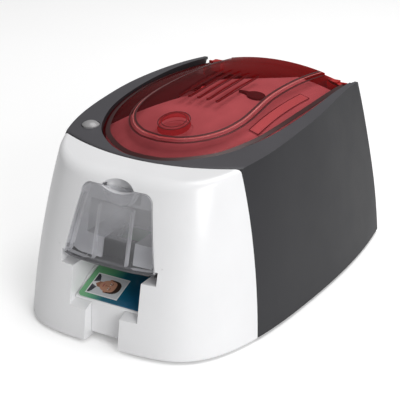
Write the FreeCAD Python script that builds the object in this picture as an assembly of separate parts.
import FreeCAD, Part
import functools
import math
import os

V = FreeCAD.Vector

# A card printer seen from the front: X to the right, Y to the back, Z up from the table.
# All lengths in millimetres. The size comes from the standard card in the tray.
CARD_W = 53.98
CARD_L = 85.6
CARD_T = 0.76

# Outer form: half outline at the foot and at the height REF_Z, front centre to back
FOOT_Z = 2.5
REF_Z = 135.0
FOOT_LINE = [(0, -146.9), (36, -145.6), (61, -139.0), (76, -126.0), (87.3, -104.0),
             (96.1, -68.6), (101.6, -14.6), (103.5, 28.5), (102.6, 81.5), (92.0, 160.0)]
TOP_LINE = [(0, -112.0), (30, -111.4), (50, -106.0), (64.5, -94.0), (73.6, -77.2),
            (80.4, -56.0), (86.0, -3.0), (86.4, 22.0), (81.0, 80.0), (71.0, 160.0)]
WALL = 2.4

# Crown of the dark deck: two arcs that meet level at CROWN_Y
CROWN_Y = 70.0
CROWN_Z = 139.2
CROWN_R_FRONT = 1206.0
CROWN_R_BACK = 500.0

# Edge radii of the outer form
BROW_R = 17.0
CORNER_R = 4.0
CREASE_R = 3.0

# Seam between the white front and the dark body: an arc in plan that leans back downwards
SEAM_R = 179.5
SEAM_Y = -92.6
SEAM_LEAN = 0.115
SEAM_GAP = 0.3

# Back edge of the side walls, as height and place
BACK_EDGE = [(-12.0, 141.6), (14.0, 141.0), (48.0, 139.3), (74.0, 136.8), (119.0, 134.3), (160.0, 131.8)]

# Lid: half outline, crown arcs, cross arch, raised middle panel
LID_LINE = [(0, -87.7), (14.1, -86.2), (27.5, -80.8), (41.1, -71.3), (52.0, -59.8), (60.4, -44.0),
            (67.6, -22.5), (71.6, 6.0), (72.8, 38.0), (71.6, 76.0), (67.6, 129.5)]
LID_BACK = 129.5
LID_TOP_Y = 36.4
LID_TOP_Z = 151.9
LID_R_FRONT = 333.0
LID_R_BACK = 579.0
LID_R_CROSS = 200.0
LID_STEP = 1.5
LID_STEP_W = 4.0
LID_WALL = 2.0
LID_GAP = 1.2
LID_SKIRT = 5.0
PANEL_LINE = [(0, -66.0), (17.0, -62.5), (32.0, -52.0), (42.5, -36.0), (47.5, -16.0), (47.6, 6.0),
              (45.6, 34.0), (44.8, 76.0), (44.6, 129.5)]

# Front opening: thumb notch, card recess and flap bay, as half widths and heights
NOTCH_W = 14.7
NOTCH_BACK = -133.0
LEDGE_Z = 24.4
RECESS_W = 29.3
RECESS_TOP = 55.2
RECESS_BACK = -92.0
CARD_TILT = 21.0
BAY_DEPTH = 13.0
FLAP_LINE = [(38.2, 63.0), (29.4, 108.6), (21.6, 115.5)]
FLAP_FOOT = [(0, 60.8), (20.0, 61.0), (34.0, 61.9)]
FLAP_GAP = 0.8
FLAP_SKIN = 1.7
FLAP_SKIRT = 5.5
FLAP_AXIS = (-130.0, 67.4)
FLAP_PIN_R = 1.5
DOME_CENTRE = (-117.5, 113.5)
DOME_R = (14.5, 9.6, 8.3)
DOME_WALL = 1.6
CUP_CENTRE = (-116.4, 114.2)
CUP_R = (12.4, 6.4, 11.0)
CUP_WALL = 1.3
LIP_Z = 112.2
LIP_R = 28.0

# Screw posts of the covers, as (x, y)
FRONT_POST = (62.0, -112.0)
BODY_POSTS = [(84.0, -55.0), (84.0, 95.0)]

# Card feeder behind the flap
MOUTH_W = 28.6
MOUTH_LOW = 75.5
MOUTH_HIGH = 100.0
THUMB_W = 13.7

# Tray, board and sockets, as (x, z)
TRAY_Z = 31.0
BOARD_Z = 14.0
JACK_AT = (52.0, 25.0)
USB_AT = (72.0, 24.0)

# Drive: frames, shafts and gears on the left side, places as (y, z)
FRAME_X = 33.0
FRAME_T = 2.0
SHAFT_R = 2.0
FIT = 0.05
PICK = (-42.0, 68.0)
FEED = (-14.0, 69.5)
PLATEN = (22.0, 69.5)
EXIT = (58.0, 69.5)
ROLLER_R = {"pick": 8.0, "feed": 7.0, "platen": 7.0, "exit": 7.0}
PINCH_Z = 82.3
PINCH_R = 5.0
TAKEUP = (-14.0, 110.0)
SUPPLY = (56.0, 108.0)
MODULE = 1.0
GEAR_X = -42.0
GEAR_W = 4.0
ROLLER_TEETH = 20
IDLER_TEETH = 16
PICK_IDLER_TEETH = 12
TAKEUP_IDLER_TEETH = 20
TAKEUP_TEETH = 34
PINION_TEETH = 12
REDUCER_TEETH = 40
STUD_R = 1.8
JOURNAL_R = 3.5
SUPPLY_FILM_R = 13.0
TAKEUP_FILM_R = 9.0
HEAD_TIP = 77.5

# Lid hinge, liner and lid fittings
HINGE = (124.0, 119.0)
HINGE_PIN_R = 1.5
LUG_R = 3.2
SLOT_X = [-18.3, -10.2, -2.1, 6.0, 14.1]
SLOT_ENDS = (-2.0, 67.0)
SLOT_W = 2.8
SLOT_DEPTH = 1.8
RELEASE_Y = -41.5
RELEASE_R = 11.3
CLIP_AT = (27.0, 39.0)
CLIP_R = 7.5
LINER_DROP = 8.0
LINER_EDGE_X = -20.0
RAIL_X = 49.0
RAIL_W = 8.0
RAIL_ENDS = (-14.0, 74.0)
POWER_AT = (-64.7, -57.6)
POWER_R = 6.8
POWER_CROWN_R = 9.2


def box(x0, x1, y0, y1, z0, z1):
    return Part.makeBox(x1 - x0, y1 - y0, z1 - z0, V(x0, y0, z0))


def rod(x0, x1, y, z, radius):
    return Part.makeCylinder(radius, x1 - x0, V(x0, y, z), V(1, 0, 0))


def mirror(shape):
    return shape.mirror(V(0, 0, 0), V(1, 0, 0))


def both_sides(half):
    return half.fuse(mirror(half))


def spline(points, start=None):
    """A smooth curve through points, with a given direction at its first one."""
    curve = Part.BSplineCurve()
    if start is None:
        curve.interpolate(points)
    else:
        flags = [i == 0 for i in range(len(points))]
        curve.interpolate(Points=points, Tangents=[start] * len(points), TangentFlags=flags)
    return curve.toShape()


def moved_in(line, inset):
    """A half outline moved inwards by inset, its first point kept on the middle plane."""
    result = []
    for i, (x, y) in enumerate(line):
        before = line[max(i - 1, 0)]
        after = line[min(i + 1, len(line) - 1)]
        dx = after[0] - before[0]
        dy = after[1] - before[1]
        if i == 0:
            dy = 0
        size = math.hypot(dx, dy)
        result.append((x - inset * dy / size, y + inset * dx / size))
    return result


def half_wire(line, z):
    """Closed half outline at one height: the spline, the back line and the middle line."""
    points = [V(x, y, z) for x, y in line]
    edge = spline(points, V(1, 0, 0))
    back = V(0, points[-1].y, z)
    return Part.Wire([edge, Part.makeLine(points[-1], back), Part.makeLine(back, points[0])])


def prism(line, z0, z1):
    return Part.Face(half_wire(line, z0)).extrude(V(0, 0, z1 - z0))


def outline_at(z):
    """Half outline of the outer form at a height: the walls lean in more towards the top."""
    t = (z - FOOT_Z) / (REF_Z - FOOT_Z)
    share = 0.5 * t + 0.5 * t * t
    return [(a[0] + (b[0] - a[0]) * share, a[1] + (b[1] - a[1]) * share) for a, b in zip(FOOT_LINE, TOP_LINE)]


def crown_height(y):
    radius = CROWN_R_FRONT if y < CROWN_Y else CROWN_R_BACK
    return CROWN_Z - radius + math.sqrt(radius ** 2 - (y - CROWN_Y) ** 2)


def arc_through(height, y0, y1, drop):
    middle = 0.5 * (y0 + y1)
    ends = [V(0, y, height(y) - drop) for y in (y0, middle, y1)]
    return Part.Arc(*ends).toShape()


def under_crown(drop, y0=-170.0, y1=165.0, floor=-5.0, width=130.0):
    """Everything below the deck surface, lowered by drop."""
    front = arc_through(crown_height, y0, CROWN_Y, drop)
    back = arc_through(crown_height, CROWN_Y, y1, drop)
    a = V(0, y0, floor)
    b = V(0, y1, floor)
    first = V(0, y0, crown_height(y0) - drop)
    last = V(0, y1, crown_height(y1) - drop)
    wire = Part.Wire([Part.makeLine(a, first), front, back, Part.makeLine(last, b), Part.makeLine(b, a)])
    return Part.Face(wire).extrude(V(width, 0, 0))


@functools.lru_cache(maxsize=None)
def half_form(inset):
    """Right half of the outer form, without its edge radii."""
    levels = [FOOT_Z, 50.0, 98.0, 150.0]
    wires = [half_wire(moved_in(outline_at(z), inset), z) for z in levels]
    return Part.makeLoft(wires, True).common(under_crown(inset))


def front_space(offset):
    """Right half of the space in front of the seam, moved back by offset."""
    low = -5.0
    high = 150.0
    shift = SEAM_LEAN * (low - crown_height(SEAM_Y))
    middle = SEAM_Y + offset + shift
    centre = middle + SEAM_R
    wide = 130.0
    side = centre - math.sqrt(SEAM_R ** 2 - wide ** 2)
    half = 0.5 * wide
    arc = Part.Arc(V(0, middle, low), V(half, centre - math.sqrt(SEAM_R ** 2 - half ** 2), low),
                   V(wide, side, low)).toShape()
    corners = [V(wide, side, low), V(wide, -200, low), V(0, -200, low), V(0, middle, low)]
    lines = [Part.makeLine(p, q) for p, q in zip(corners, corners[1:])]
    face = Part.Face(Part.Wire([arc] + lines))
    return face.extrude(V(0, SEAM_LEAN * (high - low), high - low))


def crease(shape, inset):
    """The edge where the wall meets the deck."""
    found = []
    for edge in shape.Edges:
        middle = edge.valueAt(0.5 * (edge.FirstParameter + edge.LastParameter))
        if edge.Length > 60 and abs(middle.z - crown_height(middle.y) + inset) < 4 and middle.x > 20:
            found.append((middle.y - middle.x, edge))
    return min(found, key=lambda item: item[0])[1]


def rounded(shape, inset, side_r, middle_r):
    """The crease with its radius growing from the side to the middle plane."""
    edge = crease(shape, inset)
    first = edge.valueAt(edge.FirstParameter)
    last = edge.valueAt(edge.LastParameter)
    radii = (side_r, middle_r) if abs(first.x) > abs(last.x) else (middle_r, side_r)
    return shape.makeFillet(radii[0], radii[1], [edge])


def back_space(offset):
    """Right half of the space in front of the back edge of the side walls."""
    curve = spline([V(0, y - offset, z) for z, y in BACK_EDGE])
    low = V(0, -180, BACK_EDGE[0][0])
    high = V(0, -180, BACK_EDGE[-1][0])
    ends = [curve.valueAt(curve.FirstParameter), curve.valueAt(curve.LastParameter)]
    corners = [ends[1], high, low, ends[0]]
    wire = Part.Wire([curve] + [Part.makeLine(p, q) for p, q in zip(corners, corners[1:])])
    return Part.Face(wire).extrude(V(130, 0, 0))


@functools.lru_cache(maxsize=None)
def front_block(inset, overrun):
    """Right half of the white front as a full block, moved in by inset."""
    space = front_space(overrun)
    block = half_form(inset).common(space)
    return rounded(block, inset, max(CORNER_R - inset, 1.0), max(BROW_R - inset, 2.0))


def body_block(inset, overrun):
    """Right half of the dark body as a full block."""
    block = half_form(inset).cut(front_space(overrun))
    radius = max(CORNER_R - inset, 1.0)
    return rounded(block, inset, radius, radius)


def lid_crown(y):
    radius = LID_R_FRONT if y < LID_TOP_Y else LID_R_BACK
    return LID_TOP_Z - radius + math.sqrt(radius ** 2 - (y - LID_TOP_Y) ** 2)


def arch_section(y, drop, floor, wide):
    """Half section of the lid's crown across the machine at one place along it."""
    top = lid_crown(y) - drop
    centre = top - LID_R_CROSS
    def height(x):
        return centre + math.sqrt(LID_R_CROSS ** 2 - x * x)
    arc = Part.Arc(V(0, y, top), V(wide / 2, y, height(wide / 2)), V(wide, y, height(wide))).toShape()
    corners = [V(wide, y, height(wide)), V(wide, y, floor), V(0, y, floor), V(0, y, top)]
    return Part.Wire([arc] + [Part.makeLine(p, q) for p, q in zip(corners, corners[1:])])


@functools.lru_cache(maxsize=None)
def under_lid(drop, floor=60.0, wide=95.0):
    """Right half of everything below the lid's crown, lowered by drop."""
    places = [-120.0, -70.0, -20.0, LID_TOP_Y, 75.0, 115.0, 160.0]
    return Part.makeLoft([arch_section(y, drop, floor, wide) for y in places], True)


def lid_outline(offset, z0, z1):
    """Right half of a prism on the lid's outline, moved out by offset, cut square at the back."""
    line = moved_in(LID_LINE, -offset)
    return prism(line, z0, z1).common(box(-1, 120, -120, LID_BACK + offset, z0, z1))


def make_front_cover():
    """White front: a shell with the notch, the card recess, the flap bay and the finger dome."""
    full = front_block(0, -SEAM_GAP / 2)
    skin = full.cut(front_block(WALL, 10))
    bay_rim = bay_prism(FLAP_GAP + 2.0).cut(front_block(BAY_DEPTH, 20))
    dome_wall = dome(DOME_WALL).common(box(0, 20, -125, -95, 112.0, 130))
    walls = bay_rim.fuse([recess(2.0), notch(2.0), dome_wall])
    hole = bay_prism(FLAP_GAP).fuse([recess(0), notch(0), dome(0)])
    half = skin.fuse(full.common(walls)).cut(hole)
    half = half.fuse(dome_wall.cut(dome(0)).common(box(0, 20, -112.0, -95, 112.0, 120.0)))
    half = half.cut(rod(36, 44, FLAP_AXIS[0], FLAP_AXIS[1], FLAP_PIN_R + FIT))
    return both_sides(half.fuse(cover_post(FRONT_POST).common(full)))


def cover_post(place):
    """A screw post inside a cover, held to the wall by a rib."""
    x, y = place
    post = Part.makeCylinder(3.6, 30, V(x, y, 5.6)).fuse(box(x, x + 40, y - 0.8, y + 0.8, 12, 35.6))
    return post.cut(Part.makeCylinder(1.4, 20, V(x, y, 5.0)))


def ledge_plane(offset):
    """Space above the sloping floor of the card recess."""
    front = -165.0
    back = -60.0
    slope = math.tan(math.radians(CARD_TILT))
    def floor(y):
        return LEDGE_Z + (y + 146.6) * slope - offset
    corners = [V(0, front, floor(front)), V(0, back, floor(back)), V(0, back, 90), V(0, front, 90)]
    face = Part.Face(Part.makePolygon(corners + corners[:1]))
    return face.extrude(V(60, 0, 0))


def recess(offset):
    deep = box(0, RECESS_W + offset, -165, RECESS_BACK, 0, RECESS_TOP + 12)
    return deep.common(ledge_plane(offset))


def notch(offset):
    return box(0, NOTCH_W + offset, -165, NOTCH_BACK, -5 if offset == 0 else FOOT_Z, 32)


def flap_outline(offset, y):
    """Half outline of the flap in a plane across the machine, moved out by offset."""
    (x0, z0), (x1, z1), (x2, z2) = FLAP_LINE
    foot = [V(x, y, z - offset) for x, z in FLAP_FOOT]
    corner = V(x0 + offset, y, z0 - offset * 0.5)
    low = V(x1 + offset, y, z1)
    high = V(x2, y, z2 + offset)
    bend = V(x1 - 1.9 + offset * 0.8, y, z1 + 4.6 + offset * 0.8)
    middle = V(0, y, z2 + offset)
    edges = [spline(foot), Part.makeLine(foot[-1], corner), Part.makeLine(corner, low),
             Part.Arc(low, bend, high).toShape(), Part.makeLine(high, middle), Part.makeLine(middle, foot[0])]
    return Part.Wire(edges)


@functools.lru_cache(maxsize=None)
def flap_prism(offset):
    return Part.Face(flap_outline(offset, -165)).extrude(V(0, 80, 0))


def bay_prism(offset):
    """The flap's bay, wider and square at its foot so that the flap can swing."""
    side, low = FLAP_LINE[0]
    foot = box(0, side + 2.0 + offset, -165, -85, RECESS_TOP + FLAP_GAP - offset, low + 2)
    return flap_prism(offset).fuse(foot)


def ellipsoid(centre, radii):
    ball = Part.makeSphere(1.0)
    matrix = FreeCAD.Matrix()
    matrix.scale(radii[0], radii[1], radii[2])
    ball = ball.transformGeometry(matrix)
    ball.translate(V(0, centre[0], centre[1]))
    return ball


@functools.lru_cache(maxsize=None)
def dome(offset):
    """Right half of the finger recess above the flap, moved out by offset."""
    return ellipsoid(DOME_CENTRE, [r + offset for r in DOME_R]).common(box(0, 60, -200, 0, 0, 200))


def cup_ball(offset):
    """The flap's finger cup as a full ball, moved out by offset from its outer face."""
    return ellipsoid(CUP_CENTRE, [r + CUP_WALL + offset for r in CUP_R])


def make_front_flap():
    """Clear flap: a skin on the front's own curve with side skirts, ribs, a web and a finger cup."""
    face = front_block(0, 10)
    deep = front_block(FLAP_SKIRT, 20)
    skin = face.cut(front_block(FLAP_SKIN, 20)).common(flap_prism(0))
    skirt = face.cut(deep).common(flap_prism(0).cut(flap_prism(-1.6)))
    skirt = skirt.common(box(0, 60, -170, -80, 50, 106))
    rib = face.cut(deep).common(box(13.4, 14.6, -170, -80, 63, 102))
    web = front_block(FLAP_SKIRT - 1.2, 10).cut(deep).common(box(0, 14, -170, -80, 79, 102))
    half = skin.fuse([skirt, rib, web])
    outer = cup_ball(0).common(box(-30, 30, -119.2, -90, 95, 113.6))
    inner = cup_ball(-CUP_WALL).common(box(-30, 30, -116.4, -90, 90, 130))
    lip = rod_y(-170, -90, 0, LIP_Z + LIP_R, LIP_R).common(box(-13.4, 13.4, -170, -90, 100, 150))
    flap = both_sides(half).fuse(outer).cut([inner, lip])
    y, z = FLAP_AXIS
    ear = rod(34.4, 37.4, y, z, 2.6)
    pin = rod(36.0, FLAP_LINE[0][0] + 4.0, y, z, FLAP_PIN_R)
    return flap.fuse([ear, pin, mirror(ear), mirror(pin)])


def make_body_cover():
    """Dark body: two side walls and the deck in one shell, open for the lid and at the back."""
    shell = body_block(0, SEAM_GAP / 2).cut(body_block(WALL, -10))
    shell = shell.common(back_space(0))
    rim = lid_outline(LID_GAP + 1.8, 60, 170).cut(lid_outline(LID_GAP, 50, 180))
    rim = rim.common(under_crown(WALL - 0.4)).cut(under_crown(8.0)).common(box(0, 90, -120, 128, 60, 170))
    shell = shell.fuse(rim).cut(lid_outline(LID_GAP, 100, 170))
    shell = shell.cut(box(0, LID_LINE[-1][0] + 3.0, 126, 150, 100, 170))
    block = body_block(0, 0)
    full = both_sides(shell.fuse([cover_post(place).common(block) for place in BODY_POSTS]))
    return full.cut(Part.makeCylinder(POWER_R + 0.4, 30, V(POWER_AT[0], POWER_AT[1], 115)))


def make_base_pan():
    """Floor pan inside the covers, with a rim, open at the thumb notch."""
    line = moved_in(outline_at(8.0), WALL + 1.0)
    plate = prism(line, 2.8, 5.2)
    rim = prism(line, 5.2, 9.0).cut(prism(moved_in(line, 2.0), 5.0, 10.0))
    half = plate.fuse(rim).common(back_space(6.5))
    half = half.cut(half_form(0).cut(half_form(WALL + 3.2)).common(box(0, 120, 112, 160, 0, 20)))
    half = half.cut(box(0, NOTCH_W + 2.6, -160, NOTCH_BACK + 0.6, 0, 20))
    posts = [FRONT_POST] + BODY_POSTS
    half = half.cut([Part.makeCylinder(4.2, 20, V(x, y, 5.2)) for x, y in posts])
    return both_sides(half.cut([Part.makeCylinder(1.6, 9, V(x, y, 0)) for x, y in posts]))


def make_case_screws():
    """Screws up through the base into the cover posts."""
    screws = []
    for x, y in [FRONT_POST] + BODY_POSTS:
        for side in (-1, 1):
            head = Part.makeCylinder(2.8, 0.9, V(side * x, y, 1.8))
            screws.append(head.fuse(Part.makeCylinder(1.3, 14, V(side * x, y, 2.4))))
    return Part.makeCompound(screws)


def make_rubber_feet():
    feet = []
    for x, y in ((56.0, -82.0), (72.0, 112.0)):
        for side in (-1, 1):
            feet.append(Part.makeCone(7.4, 8.2, 2.8, V(side * x, y, 0)))
    return Part.makeCompound(feet)


def make_rear_cover():
    """Clear red back: a bowed panel with a rim, between the side walls."""
    def bowed(step):
        sections = []
        for z, y in BACK_EDGE[:5]:
            middle = V(0, y + 4.6 - step, z)
            side = V(96, y - 2.2 - step, z)
            bend = V(48, y + 2.9 - step, z)
            front = y - 60
            corners = [side, V(96, front, z), V(0, front, z), middle]
            lines = [Part.makeLine(p, q) for p, q in zip(corners, corners[1:])]
            sections.append(Part.Wire([Part.Arc(middle, bend, side).toShape()] + lines))
        return Part.makeLoft(sections, True)
    def region(inset, low, high):
        return half_form(WALL + 0.5 + inset).common(box(0, 120, 90, 160, low, high))
    space = bowed(0).cut(bowed(14.0))
    outer = region(0, 2.8, 113.0).common(space)
    inner = region(2.2, 0, 110.8).common(bowed(2.2))
    back = both_sides(outer.cut(inner))
    jack = rod_y(130, 160, JACK_AT[0], JACK_AT[1], 5.2)
    usb = box(USB_AT[0] - 6.4, USB_AT[0] + 6.4, 130, 160, USB_AT[1] - 5.9, USB_AT[1] + 5.9)
    return back.cut([jack, usb])


def rod_y(y0, y1, x, z, radius):
    return Part.makeCylinder(radius, y1 - y0, V(x, y0, z), V(0, 1, 0))


def make_power_jack():
    x, z = JACK_AT
    shell = rod_y(128, 142.6, x, z, 4.9).cut(rod_y(133, 143, x, z, 3.2))
    return shell.fuse([rod_y(131, 141.6, x, z, 1.0), box(x - 5, x + 5, 120, 131, z - 9.4, z + 5)])


def make_usb_port():
    x, z = USB_AT
    shell = box(x - 6.1, x + 6.1, 124, 142.6, z - 5.6, z + 5.6)
    shell = shell.cut(box(x - 4.4, x + 4.4, 132, 143, z - 4.0, z + 4.0))
    tongue = box(x - 2.8, x + 2.8, 131, 141, z - 1.6, z + 1.6)
    return shell.fuse([tongue, box(x - 6.1, x + 6.1, 124, 131, BOARD_Z + 1.6, z - 5.6)])


def make_circuit_board():
    """Board on the right, behind the sockets, with its chips and capacitors."""
    board = box(44, 78.2, 56, 131, BOARD_Z, BOARD_Z + 1.6)
    top = BOARD_Z + 1.6
    chips = [box(46, 60, 70, 84, top, top + 1.6), box(65, 75, 66, 72, top, top + 1.4)]
    cans = [Part.makeCylinder(4.0, 11, V(60 + 11 * i, 96, top)) for i in range(2)]
    pillars = [Part.makeCylinder(3.0, BOARD_Z - 5.2, V(x, y, 5.2)) for x in (48, 74) for y in (60, 120)]
    return board.fuse(chips + cans + pillars)


def make_inner_deck():
    """Pan under the lid with a bay for the ribbon, and the hinge ears at its back."""
    pan = lid_outline(4.0, 60, 170).common(under_crown(13.0)).cut(under_crown(15.2))
    wall = lid_outline(4.0, 60, 170).cut(lid_outline(2.0 + LID_GAP, 50, 180))
    wall = wall.common(under_crown(8.4)).cut(under_crown(15.2))
    half = pan.fuse(wall).common(box(0, 90, -120, 118.0, 60, 170))
    y, z = HINGE
    for x in (46.0, 61.0):
        ear = rod(x, x + 4, y, z, LUG_R)
        web = Part.makePolygon([V(x, y - 1.0, z - 3.0), V(x, y - 3.0, z + 1.0), V(x, y - 7.0, z + 4.0),
                                V(x, y - 16.0, z + 3.6), V(x, y - 8.0, z - 4.5), V(x, y - 1.0, z - 3.0)])
        half = half.fuse([ear, Part.Face(web).extrude(V(4, 0, 0))])
    half = half.cut(rod(40, 70, y, z, HINGE_PIN_R))
    deck = both_sides(half)
    bay = box(-50, 33.0, -35, 90, 90, 160).fuse(box(33.0, 36.4, -35, 90, 90, 160))
    return deck.cut(bay)


def make_hinge_pins():
    y, z = HINGE
    pins = [rod(45.5, 65.5, y, z, HINGE_PIN_R), rod(-65.5, -45.5, y, z, HINGE_PIN_R)]
    return Part.makeCompound(pins)


def raised_panel():
    """Right half of the lid's raised middle as a full block with a sloping edge."""
    panel = prism(PANEL_LINE, 110, 170).common(under_lid(0))
    for edge in panel.Edges:
        middle = edge.valueAt(0.5 * (edge.FirstParameter + edge.LastParameter))
        if edge.Length > 100 and middle.x > 20 and middle.z > 130:
            rim = edge
    return panel.makeChamfer(LID_STEP - 0.1, LID_STEP_W, [rim])


def make_top_cover():
    """Clear red lid: crowned shell, raised middle panel, slots, button hole and hinge lugs."""
    low = under_crown(LID_SKIRT)
    block = lid_outline(0, 100, 170).common(under_lid(LID_STEP))
    block = block.fuse(raised_panel())
    inner = lid_outline(-LID_WALL, 90, 170).common(under_lid(LID_STEP + LID_WALL))
    shell = block.cut(inner).cut(low)
    back_wall = box(0, 66, LID_BACK - LID_WALL, LID_BACK, 121, 134)
    y, z = HINGE
    lug = rod(51.0, 60.0, y, z, LUG_R)
    arm = box(51.0, 60.0, y - 3.0, LID_BACK - 1.0, z, 136)
    shell = shell.fuse([back_wall, lug, arm]).cut(rod(45, 66, y, z, HINGE_PIN_R + FIT))
    full = both_sides(shell)
    y0, y1 = SLOT_ENDS
    slots = [slot(x, y0, y1).common(lid_layer(-1.0, SLOT_DEPTH)) for x in SLOT_X]
    return full.cut(slots + [Part.makeCylinder(RELEASE_R + 0.5, 60, V(0, RELEASE_Y, 110))])


def slot(x, y0, y1):
    radius = SLOT_W / 2
    ends = [Part.makeCylinder(radius, 60, V(x, y, 110)) for y in (y0 + radius, y1 - radius)]
    return box(x - radius, x + radius, y0 + radius, y1 - radius, 110, 170).fuse(ends)


@functools.lru_cache(maxsize=None)
def lid_layer(top, bottom):
    """Both halves of the space between two lowered copies of the lid's crown."""
    return both_sides(under_lid(top).cut(under_lid(bottom)))


def make_release_button():
    """Round button in the lid: cap and retaining flange."""
    cap = Part.makeCylinder(RELEASE_R, 60, V(0, RELEASE_Y, 110)).common(lid_layer(-0.5, 4.8))
    flange = Part.makeCylinder(RELEASE_R + 1.4, 60, V(0, RELEASE_Y, 110)).common(lid_layer(3.9, 4.8))
    return cap.fuse(flange)


def make_liner_clip():
    """Dark round clip with a tail, on top of the liner."""
    x, y = CLIP_AT
    disc = Part.makeCylinder(CLIP_R, 60, V(x, y, 110))
    corners = [V(x, y - 4.2, 110), V(x - CLIP_R - 7.5, y - 1.0, 110), V(x - CLIP_R - 7.5, y + 1.0, 110),
               V(x, y + 4.2, 110)]
    tail = Part.Face(Part.makePolygon(corners + corners[:1])).extrude(V(0, 0, 60))
    return disc.fuse(tail).common(lid_layer(LINER_DROP - 1.6, LINER_DROP))


def make_lid_liner():
    """Pale panel under the right of the lid that carries the print head."""
    bend = Part.Arc(V(LINER_EDGE_X, 60, 90), V(11, 87, 90), V(26, 116, 90)).toShape()
    corners = [V(26, 116, 90), V(90, 116, 90), V(90, -120, 90), V(-66, -120, 90), V(-66, -42, 90),
               V(LINER_EDGE_X, 16, 90), V(LINER_EDGE_X, 60, 90)]
    area = Part.Face(Part.Wire([bend] + [Part.makeLine(p, q) for p, q in zip(corners, corners[1:])]))
    outline = both_sides(lid_outline(-LID_WALL, 90, 170))
    plate = outline.common(lid_layer(LINER_DROP, LINER_DROP + 1.8)).common(area.extrude(V(0, 0, 90)))
    rail = box(RAIL_X, RAIL_X + RAIL_W, RAIL_ENDS[0], RAIL_ENDS[1], 100, 170)
    rail = rail.common(lid_layer(LINER_DROP - 1.2, LINER_DROP + 0.4))
    hole = Part.makeCylinder(RELEASE_R + 3.0, 60, V(0, RELEASE_Y, 100)).common(lid_layer(0, LINER_DROP + 0.6))
    return plate.cut(hole).fuse(rail)


def make_head_bracket():
    """Pressed bracket that hangs under the liner and guides the print head."""
    y = PLATEN[0]
    under = LINER_DROP + 1.8
    wall = box(-29, 29, y - 1.0, y + 1.0, 97.0, 150).common(both_sides(under_lid(under)))
    top = box(-29, 29, y - 8.0, y + 8.0, 100, 150).common(lid_layer(under, under + 1.6))
    foot = box(-29, 29, y - 7.0, y + 7.0, 97.0, 98.6)
    pins = [Part.makeCylinder(1.5, 10, V(x, y + 4.0, 88.0)) for x in (-20, 20)]
    return wall.fuse([top, foot] + pins)


def make_print_head():
    """Head with its finned heat sink and the sloping edge that presses on the ribbon."""
    y = PLATEN[0]
    tip = HEAD_TIP
    corners = [V(-28, y - 6, 92), V(-28, y - 6, 82), V(-28, y - 1.4, tip), V(-28, y + 1.4, tip),
               V(-28, y + 7, 84), V(-28, y + 7, 92)]
    block = Part.Face(Part.makePolygon(corners + corners[:1])).extrude(V(56, 0, 0))
    grooves = [box(-29, 29, y - 7, y - 4, z, z + 1.2) for z in (84.0, 86.6, 89.2)]
    guides = [Part.makeCylinder(1.5 + FIT, 12, V(x, y + 4.0, 84.0)) for x in (-20, 20)]
    return block.cut(grooves + guides)


def make_head_springs():
    y = PLATEN[0]
    return Part.makeCompound([coil_sleeve(x, y - 2.5, 92.0, 97.0) for x in (-20, 20)])


def coil_sleeve(x, y, z0, z1):
    return Part.makeCylinder(2.4, z1 - z0, V(x, y, z0)).cut(Part.makeCylinder(1.6, z1 - z0, V(x, y, z0)))


def make_power_button():
    """Round button in the deck with a low domed top and two clips that hold it in."""
    x, y = POWER_AT
    top = crown_height(y)
    stem = Part.makeCylinder(POWER_R, 11.2, V(x, y, top - 6.2))
    crown = Part.makeSphere(POWER_CROWN_R, V(x, y, top + 3.4 - POWER_CROWN_R))
    clips = box(x - 3.5, x + 0.5, y - POWER_R - 1.1, y + POWER_R + 1.1, top - 6.2, top - 4.4)
    return stem.common(crown).fuse(clips)


def make_card_feeder():
    """Input hopper: a plate behind the flap with the card mouth, and a tunnel to the pick roller."""
    plate = front_block(BAY_DEPTH, 30).cut(front_block(BAY_DEPTH + 2.0, 40)).common(flap_prism(1.6))
    plate = plate.common(box(0, 60, -165, -60, 60, 112.0)).cut(box(0, 13.6, -165, -60, MOUTH_HIGH + 1.8, 120))
    tunnel = box(0, MOUTH_W + 2.0, -124, -34, MOUTH_LOW - 2.0, MOUTH_HIGH + 2.0)
    tunnel = tunnel.cut(box(0, MOUTH_W, -130, -30, MOUTH_LOW, MOUTH_HIGH))
    tunnel = tunnel.common(front_block(BAY_DEPTH + 1.0, 120)).cut(box(0, 40, -50, -30, 78, 120))
    half = plate.fuse(tunnel).cut(box(0, MOUTH_W, -130, -100, MOUTH_LOW, MOUTH_HIGH))
    half = half.cut(box(0, THUMB_W, -130, -92, 55, MOUTH_LOW + 2))
    half = half.cut(box(0, 22, PICK[0] - 9.5, -30, 70, 78))
    return both_sides(half)


def make_feeder_shield():
    """Dark pocket under the feeder: closes the view into the machine behind the thumb slot."""
    low = RECESS_TOP
    floor = box(-RECESS_W + 0.4, RECESS_W - 0.4, -125.0, -111.0, low, low + 1.2)
    back = box(-RECESS_W + 0.4, RECESS_W - 0.4, -112.4, -111.0, low, MOUTH_LOW - 2.0)
    return floor.fuse(back)


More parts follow.
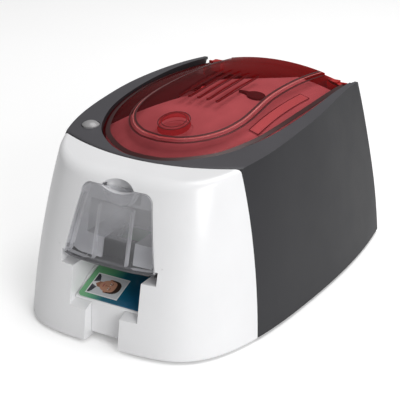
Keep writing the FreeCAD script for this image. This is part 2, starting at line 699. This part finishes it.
def make_output_tray():
    """Sloping card tray with side rails and the plate that closes the thumb notch."""
    slope = math.tan(math.radians(CARD_TILT))
    y0 = -135.3
    z0 = TRAY_Z
    y1 = -58.0
    z1 = z0 + (y1 - y0) * slope
    corners = [V(0, y0, z0), V(0, y1, z1), V(0, y1, z1 - 2.0), V(0, y0, z0 - 2.0)]
    ramp = Part.Face(Part.makePolygon(corners + corners[:1])).extrude(V(RECESS_W - 0.5, 0, 0))
    side = RECESS_W - 1.7
    rail = [V(side, y0 + 8, z0 + 8 * slope), V(side, y1, z1), V(side, y1, z1 + 3),
            V(side, y0 + 16, z0 + 16 * slope + 3)]
    rails = Part.Face(Part.makePolygon(rail + rail[:1])).extrude(V(1.2, 0, 0))
    sheet = [V(0, y0, z0), V(0, y0 + 2, z0), V(0, y0 + 0.2, 5.6), V(0, y0 - 1.8, 5.6)]
    plate = Part.Face(Part.makePolygon(sheet + sheet[:1])).extrude(V(NOTCH_W - 0.4, 0, 0))
    plate = plate.common(box(0, 60, -140, -100, 5.6, 60))
    legs = box(18, 22, -100, -96, 5.2, z0 + (-100 - y0) * slope - 1.0)
    return both_sides(ramp.fuse([rails, plate, legs]))


def make_printed_card():
    """The card that lies on the tray, its long side running into the machine."""
    card = Part.makeBox(CARD_W, CARD_L, CARD_T, V(-CARD_W / 2, 0, 0))
    uprights = [edge for edge in card.Edges if abs(edge.tangentAt(edge.FirstParameter).z) > 0.9]
    card = card.makeFillet(3.18, uprights)
    card.rotate(V(0, 0, 0), V(1, 0, 0), CARD_TILT)
    card.translate(V(0, -135.2, TRAY_Z + 0.5))
    return card


def frame_plate():
    """Profile of one side frame, with windows and open slots for the ribbon spools."""
    corners = [(-56, 5.2), (86, 5.2), (86, 84), (70, 118), (42, 118), (36, 96), (10, 96), (2, 119),
               (-30, 119), (-36, 90), (-56, 80)]
    points = [V(0, y, z) for y, z in corners]
    plate = Part.Face(Part.makePolygon(points + points[:1])).extrude(V(FRAME_T, 0, 0))
    windows = [box(-1, 3, -44, -4, 20, 50), box(-1, 3, 62, 78, 18, 54)]
    return plate.cut(windows)


def make_frame(side):
    plate = frame_plate()
    x0 = FRAME_X if side > 0 else -FRAME_X - FRAME_T
    plate.translate(V(x0, 0, 0))
    x1 = x0 + FRAME_T if side > 0 else x0 - 8
    flange = box(x1, x1 + 8, -50, 80, 5.2, 7.2)
    holes = [rod(x0 - 1, x0 + 3, y, z, 4.0) for y, z in (PICK, FEED, PLATEN, EXIT)]
    holes += [rod(x0 - 1, x0 + 3, y, PINCH_Z, SHAFT_R + FIT) for y in (FEED[0], EXIT[0])]
    holes += [rod(x0 - 1, x0 + 3, y, z, JOURNAL_R + FIT) for y, z in (TAKEUP, SUPPLY)]
    y, z = SUPPLY
    holes.append(box(x0 - 1, x0 + 3, y - JOURNAL_R - FIT, y + JOURNAL_R + FIT, z, 125))
    if side > 0:
        y, z = TAKEUP
        holes.append(box(x0 - 1, x0 + 3, y - JOURNAL_R - FIT, y + JOURNAL_R + FIT, z, 125))
    else:
        holes.append(rod(x0 - 1, x0 + 3, MOTOR[0], MOTOR[1], 4.0))
        holes += [rod(x0 - 1, x0 + 3, y, z, STUD_R) for y, z in STUDS]
    return plate.fuse(flange).cut(holes)


def make_frame_bars():
    """Bars that hold the two frames apart."""
    places = [(-50.0, 30.0), (78.0, 62.0), (10.0, 14.0)]
    return Part.makeCompound([rod(-FRAME_X, FRAME_X, y, z, 2.5) for y, z in places])


def make_shaft_bushes():
    """Bushes for the four driven rollers, one in each frame."""
    bushes = []
    for y, z in (PICK, FEED, PLATEN, EXIT):
        for x0, x1 in ((-FRAME_X - FRAME_T, 1.0 - FRAME_X), (FRAME_X - 1.0, FRAME_X + FRAME_T)):
            bushes.append(rod(x0, x1, y, z, 4.0).cut(rod(x0, x1, y, z, SHAFT_R + FIT)))
    return Part.makeCompound(bushes)


def roller_shaft(place):
    y, z = place
    return rod(GEAR_X - 0.3, FRAME_X + FRAME_T + 1.0, y, z, SHAFT_R)


def roller_tyre(place, radius, spans):
    y, z = place
    tyres = [rod(a, b, y, z, radius).cut(rod(a, b, y, z, SHAFT_R)) for a, b in spans]
    return Part.makeCompound(tyres) if len(tyres) > 1 else tyres[0]


def pinch_roller(y):
    end = FRAME_X + FRAME_T
    return rod(-end, end, y, PINCH_Z, SHAFT_R).fuse(rod(-24, 24, y, PINCH_Z, PINCH_R))


def gear(place, teeth, phase, x0=GEAR_X, width=GEAR_W, bore=SHAFT_R):
    """Spur gear with straight tooth flanks; phase is the angle of one tooth, from Y towards Z."""
    y, z = place
    pitch_r = 0.5 * MODULE * teeth
    tip = pitch_r + 0.85 * MODULE
    root = pitch_r - 1.1 * MODULE
    points = []
    for i in range(teeth):
        middle = phase + 2 * math.pi * i / teeth
        for radius, half in ((root, 0.92), (tip, 0.34), (tip, -0.34), (root, -0.92)):
            angle = middle - half * MODULE / radius
            points.append(V(x0, y + radius * math.cos(angle), z + radius * math.sin(angle)))
    blank = Part.Face(Part.makePolygon(points + points[:1])).extrude(V(width, 0, 0))
    return blank.cut(rod(x0 - 1, x0 + width + 1, y, z, bore)) if bore else blank


def meshed(place, teeth, phase, other, other_teeth):
    """Phase of a gear at other that meshes with the gear at place."""
    angle = math.atan2(other[1] - place[1], other[0] - place[0])
    share = ((angle - phase) * teeth / (2 * math.pi)) % 1.0
    return angle + math.pi + (share + 0.5) * 2 * math.pi / other_teeth


def between(a, b, ra, rb, side):
    """The point at ra from a and rb from b, on one side of the line from a to b."""
    dy = b[0] - a[0]
    dz = b[1] - a[1]
    gap = math.hypot(dy, dz)
    along = (ra ** 2 - rb ** 2 + gap ** 2) / (2 * gap)
    up = side * math.sqrt(ra ** 2 - along ** 2)
    return (a[0] + along * dy / gap - up * dz / gap, a[1] + along * dz / gap + up * dy / gap)


def stud_gear(place, teeth, phase):
    hub = rod(GEAR_X + GEAR_W, -FRAME_X - FRAME_T - 0.4, place[0], place[1], 4.0)
    wheel = gear(place, teeth, phase, bore=0).fuse(hub)
    return wheel.cut(rod(GEAR_X - 2, -FRAME_X, place[0], place[1], STUD_R + FIT))


def make_gear_studs():
    studs = [rod(GEAR_X - 0.8, -FRAME_X, y, z, STUD_R) for y, z in STUDS[:-1]]
    y, z = STUDS[-1]
    studs.append(rod(2 * GEAR_X + 2.0 + FRAME_X, -FRAME_X, y, z, STUD_R))
    return Part.makeCompound(studs)


def make_reducer_gear():
    """Large and small wheel in one, between the motor pinion and the platen gear."""
    small = gear(REDUCER, PINION_TEETH, PHASE["reducer"], bore=0)
    large = gear(REDUCER, REDUCER_TEETH, PHASE["reducer"], x0=GEAR_X - 5.0, bore=0)
    hub = rod(GEAR_X - 1.0, GEAR_X, REDUCER[0], REDUCER[1], 4.6)
    tail = rod(GEAR_X + GEAR_W, -FRAME_X - FRAME_T - 0.4, REDUCER[0], REDUCER[1], 4.0)
    whole = small.fuse([large, hub, tail])
    return whole.cut(rod(GEAR_X - 6, -FRAME_X, REDUCER[0], REDUCER[1], STUD_R + FIT))


def make_motor_pinion():
    wheel = gear(MOTOR, PINION_TEETH, PHASE["motor"], x0=GEAR_X - 5.0, bore=0)
    return wheel.fuse(rod(GEAR_X - 5.4, -FRAME_X + 0.4, MOTOR[0], MOTOR[1], 1.5))


def make_drive_motor():
    y, z = MOTOR
    can = rod(-FRAME_X + 1.0, -3.0, y, z, 17.5)
    plate = rod(-FRAME_X, -FRAME_X + 1.0, y, z, 19.0)
    tail = rod(-3.0, 0.0, y, z, 6.0)
    return can.fuse([plate, tail]).cut(rod(-FRAME_X - 1, -FRAME_X + 0.9, y, z, 2.5))


def spool_core(place):
    """Spool with two flanges and the journals that sit in the frames."""
    y, z = place
    core = rod(-30.4, 30.4, y, z, 6.0)
    flanges = [rod(x, x + 1.4, y, z, 14.5) for x in (-31.8, 30.4)]
    end = FRAME_X + FRAME_T
    journals = [rod(a, b, y, z, JOURNAL_R) for a, b in ((-end, -31.8), (31.8, end))]
    return core.fuse(flanges + journals)


def spool_film(place, radius):
    y, z = place
    return rod(-30.2, 30.2, y, z, radius).cut(rod(-30.2, 30.2, y, z, 6.0))


def make_takeup_core():
    y, z = TAKEUP
    return spool_core(TAKEUP).fuse(rod(GEAR_X - 0.3, -FRAME_X - FRAME_T, y, z, SHAFT_R))


def make_ribbon_web():
    """Ribbon from the supply spool, under the head's edge, to the take-up spool."""
    film = 0.12
    low = HEAD_TIP - 0.45
    y = PLATEN[0]
    start = (SUPPLY[0] - SUPPLY_FILM_R * 0.55 - 0.4, SUPPLY[1] - SUPPLY_FILM_R * 0.86)
    end = (TAKEUP[0] + TAKEUP_FILM_R * 0.9 + 0.4, TAKEUP[1] - TAKEUP_FILM_R * 0.55)
    path = [start, (y + 9.0, low + 4.4), (y + 2.2, low), (y - 2.2, low), (y - 8.6, low + 4.4), end]
    upper = [V(-30, a, b + film) for a, b in path]
    lower = [V(-30, a, b) for a, b in reversed(path)]
    return Part.Face(Part.makePolygon(upper + lower + upper[:1])).extrude(V(60, 0, 0))


IDLER_A = (0.5 * (FEED[0] + PLATEN[0]), FEED[1])
IDLER_B = (0.5 * (PLATEN[0] + EXIT[0]), EXIT[1])
PICK_MESH = 0.5 * MODULE * (ROLLER_TEETH + PICK_IDLER_TEETH)
IDLER_C = between(PICK, FEED, PICK_MESH, PICK_MESH, -1)
IDLER_D = between(IDLER_A, TAKEUP, 0.5 * MODULE * (IDLER_TEETH + TAKEUP_IDLER_TEETH),
                  0.5 * MODULE * (TAKEUP_IDLER_TEETH + TAKEUP_TEETH), -1)
REDUCER = (PLATEN[0], PLATEN[1] - 0.5 * MODULE * (ROLLER_TEETH + PINION_TEETH))
MOTOR_MESH = 0.5 * MODULE * (REDUCER_TEETH + PINION_TEETH)
MOTOR_SIDE = math.radians(-60)
MOTOR = (REDUCER[0] + MOTOR_MESH * math.cos(MOTOR_SIDE), REDUCER[1] + MOTOR_MESH * math.sin(MOTOR_SIDE))
STUDS = [IDLER_A, IDLER_B, IDLER_C, IDLER_D, REDUCER]

PHASE = {"platen": 0.0}
PHASE["idler_a"] = meshed(PLATEN, ROLLER_TEETH, PHASE["platen"], IDLER_A, IDLER_TEETH)
PHASE["feed"] = meshed(IDLER_A, IDLER_TEETH, PHASE["idler_a"], FEED, ROLLER_TEETH)
PHASE["idler_b"] = meshed(PLATEN, ROLLER_TEETH, PHASE["platen"], IDLER_B, IDLER_TEETH)
PHASE["exit"] = meshed(IDLER_B, IDLER_TEETH, PHASE["idler_b"], EXIT, ROLLER_TEETH)
PHASE["idler_c"] = meshed(FEED, ROLLER_TEETH, PHASE["feed"], IDLER_C, PICK_IDLER_TEETH)
PHASE["pick"] = meshed(IDLER_C, PICK_IDLER_TEETH, PHASE["idler_c"], PICK, ROLLER_TEETH)
PHASE["idler_d"] = meshed(IDLER_A, IDLER_TEETH, PHASE["idler_a"], IDLER_D, TAKEUP_IDLER_TEETH)
PHASE["takeup"] = meshed(IDLER_D, TAKEUP_IDLER_TEETH, PHASE["idler_d"], TAKEUP, TAKEUP_TEETH)
PHASE["reducer"] = meshed(PLATEN, ROLLER_TEETH, PHASE["platen"], REDUCER, PINION_TEETH)
PHASE["motor"] = meshed(REDUCER, REDUCER_TEETH, PHASE["reducer"], MOTOR, PINION_TEETH)

parts = {
    "front_cover": make_front_cover(),
    "body_cover": make_body_cover(),
    "rear_cover": make_rear_cover(),
    "base_pan": make_base_pan(),
    "case_screws": make_case_screws(),
    "rubber_feet": make_rubber_feet(),
    "inner_deck": make_inner_deck(),
    "hinge_pins": make_hinge_pins(),
    "card_feeder": make_card_feeder(),
    "feeder_shield": make_feeder_shield(),
    "output_tray": make_output_tray(),
    "frame_left": make_frame(-1),
    "frame_right": make_frame(1),
    "frame_bars": make_frame_bars(),
    "shaft_bushes": make_shaft_bushes(),
    "gear_studs": make_gear_studs(),
    "drive_motor": make_drive_motor(),
    "circuit_board": make_circuit_board(),
    "power_jack": make_power_jack(),
    "usb_port": make_usb_port(),
    "ribbon_web": make_ribbon_web(),
    "top_cover": make_top_cover(),
    "lid_liner": make_lid_liner(),
    "liner_clip": make_liner_clip(),
    "head_bracket": make_head_bracket(),
    "head_springs": make_head_springs(),
    "release_button": make_release_button(),
    "print_head": make_print_head(),
    "front_flap": make_front_flap(),
    "power_button": make_power_button(),
    "printed_card": make_printed_card(),
    "takeup_core": make_takeup_core(),
    "takeup_film": spool_film(TAKEUP, TAKEUP_FILM_R),
    "takeup_gear": gear(TAKEUP, TAKEUP_TEETH, PHASE["takeup"]),
    "supply_core": spool_core(SUPPLY),
    "supply_film": spool_film(SUPPLY, SUPPLY_FILM_R),
    "feed_idler": stud_gear(IDLER_A, IDLER_TEETH, PHASE["idler_a"]),
    "exit_idler": stud_gear(IDLER_B, IDLER_TEETH, PHASE["idler_b"]),
    "pick_idler": stud_gear(IDLER_C, PICK_IDLER_TEETH, PHASE["idler_c"]),
    "takeup_idler": stud_gear(IDLER_D, TAKEUP_IDLER_TEETH, PHASE["idler_d"]),
    "reducer_gear": make_reducer_gear(),
    "motor_pinion": make_motor_pinion(),
    "pinch_roller_front": pinch_roller(FEED[0]),
    "pinch_roller_back": pinch_roller(EXIT[0]),
}
for name, place in (("pick", PICK), ("feed", FEED), ("platen", PLATEN), ("exit", EXIT)):
    spans = [(-18.0, -6.0), (6.0, 18.0)] if name == "pick" else [(-27.0, 27.0)]
    parts[name + "_shaft"] = roller_shaft(place)
    parts[name + "_tyres"] = roller_tyre(place, ROLLER_R[name], spans)
    parts[name + "_gear"] = gear(place, ROLLER_TEETH, PHASE[name])

os.makedirs("parts", exist_ok=True)
for name, shape in parts.items():
    shape.exportStep("parts/" + name + ".step")
    if not shape.isValid():
        print("not valid:", name)
